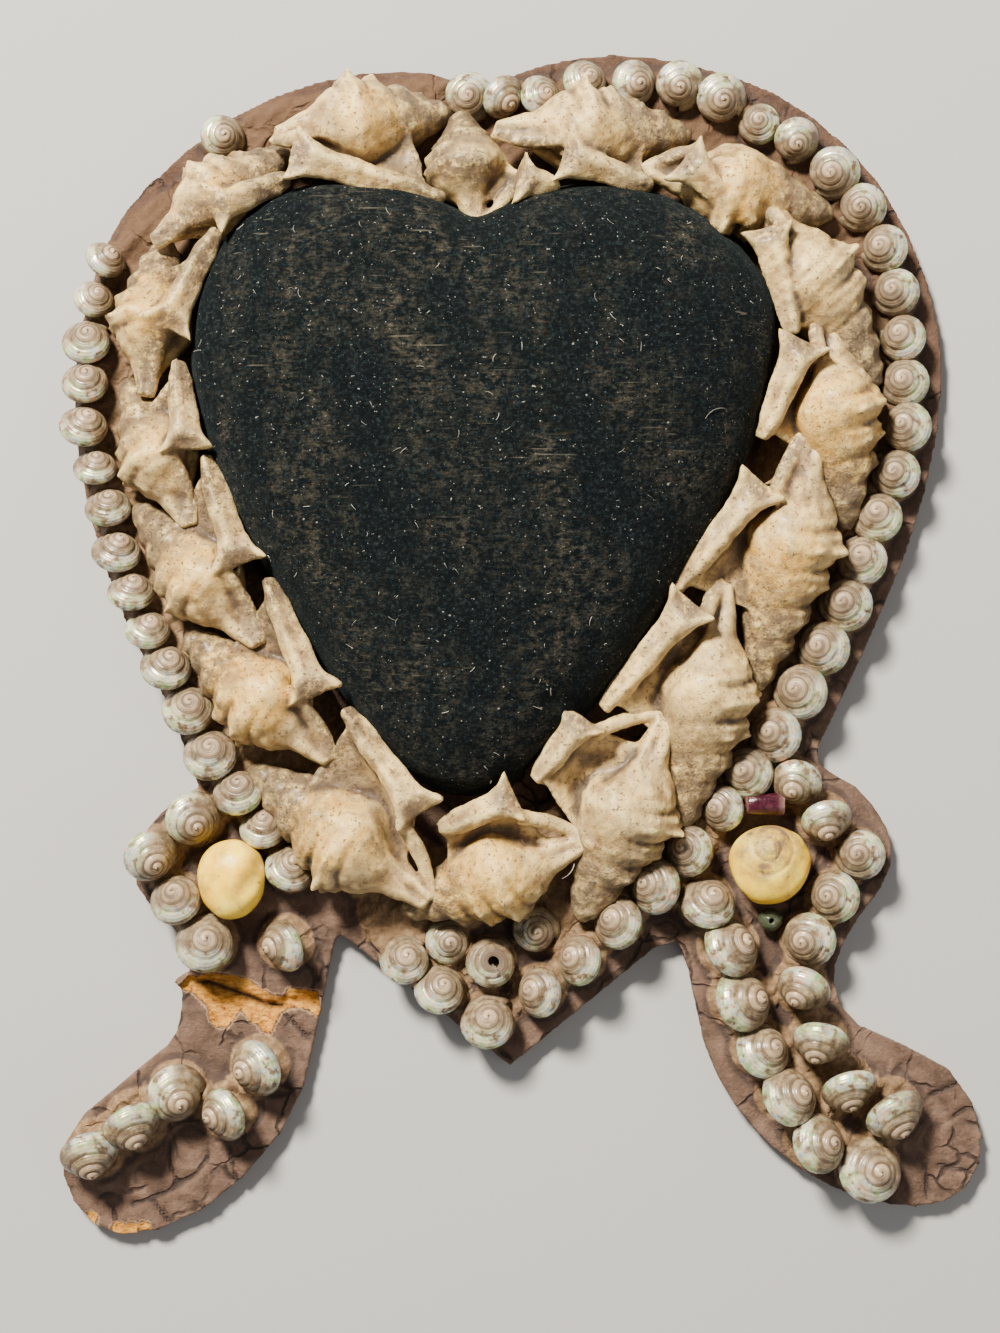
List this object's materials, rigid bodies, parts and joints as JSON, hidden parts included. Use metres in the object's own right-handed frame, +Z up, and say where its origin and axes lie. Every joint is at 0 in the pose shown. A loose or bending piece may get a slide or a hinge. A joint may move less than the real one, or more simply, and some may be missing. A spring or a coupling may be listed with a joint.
{
  "type": "shell pin cushion",
  "caption": "Heart-shaped velvet pin cushion on a flat leather-covered board with two curled legs, wreathed and edged with sea shells; it lies on its back.",
  "frame": {"origin": "point on the board's underside near its middle, under the lower part of the cushion", "axes": "+Z up, out of the cushion's crown; +Y along the board from the legs to the two lobes; +X to the right as the cushion is looked down on"},
  "size_m": [0.1655, 0.2126, 0.0262],
  "materials": {
    "board_leather": "worn, cracked dark leather over millboard, with glue",
    "velvet": "threadbare blue-black cotton velvet",
    "pelicans_foot_shell": "worn cream and ochre shell, chalky with grime",
    "top_shell_nacre": "worn grey-beige nacre with a green and pink lustre",
    "periwinkle_shell": "smooth ochre yellow shell with small dark specks",
    "glass_bead_red": "dark maroon bead with a cream end",
    "glass_bead_green": "small dull green bead"
  },
  "bodies": {
    "root": {"backing_board": "board_leather", "green_bead": "glass_bead_green", "heart_cushion": "velvet", "pelicans_foot_01": "pelicans_foot_shell", "pelicans_foot_02": "pelicans_foot_shell", "pelicans_foot_03": "pelicans_foot_shell", "pelicans_foot_04": "pelicans_foot_shell", "pelicans_foot_05": "pelicans_foot_shell", "pelicans_foot_06": "pelicans_foot_shell", "pelicans_foot_07": "pelicans_foot_shell", "pelicans_foot_08": "pelicans_foot_shell", "pelicans_foot_09": "pelicans_foot_shell", "pelicans_foot_10": "pelicans_foot_shell", "pelicans_foot_11": "pelicans_foot_shell", "pelicans_foot_12": "pelicans_foot_shell", "pelicans_foot_13": "pelicans_foot_shell", "pelicans_foot_14": "pelicans_foot_shell", "pelicans_foot_15": "pelicans_foot_shell", "pelicans_foot_16": "pelicans_foot_shell", "red_bead": "glass_bead_red", "top_shells_left_foot": "top_shell_nacre", "top_shells_left_hip": "top_shell_nacre", "top_shells_left_hip_inner": "top_shell_nacre", "top_shells_left_leg_lone": "top_shell_nacre", "top_shells_left_point": "top_shell_nacre", "top_shells_left_rim_lower": "top_shell_nacre", "top_shells_left_rim_middle": "top_shell_nacre", "top_shells_left_rim_upper": "top_shell_nacre", "top_shells_right_foot": "top_shell_nacre", "top_shells_right_hip": "top_shell_nacre", "top_shells_right_hip_inner": "top_shell_nacre", "top_shells_right_leg": "top_shell_nacre", "top_shells_right_point": "top_shell_nacre", "top_shells_right_rim_lower": "top_shell_nacre", "top_shells_right_rim_middle": "top_shell_nacre", "top_shells_right_rim_upper": "top_shell_nacre", "top_shells_top_left_lone": "top_shell_nacre", "top_shells_top_rim": "top_shell_nacre", "yellow_periwinkle_left": "periwinkle_shell", "yellow_periwinkle_right": "periwinkle_shell"}
  },
  "joints": []
}
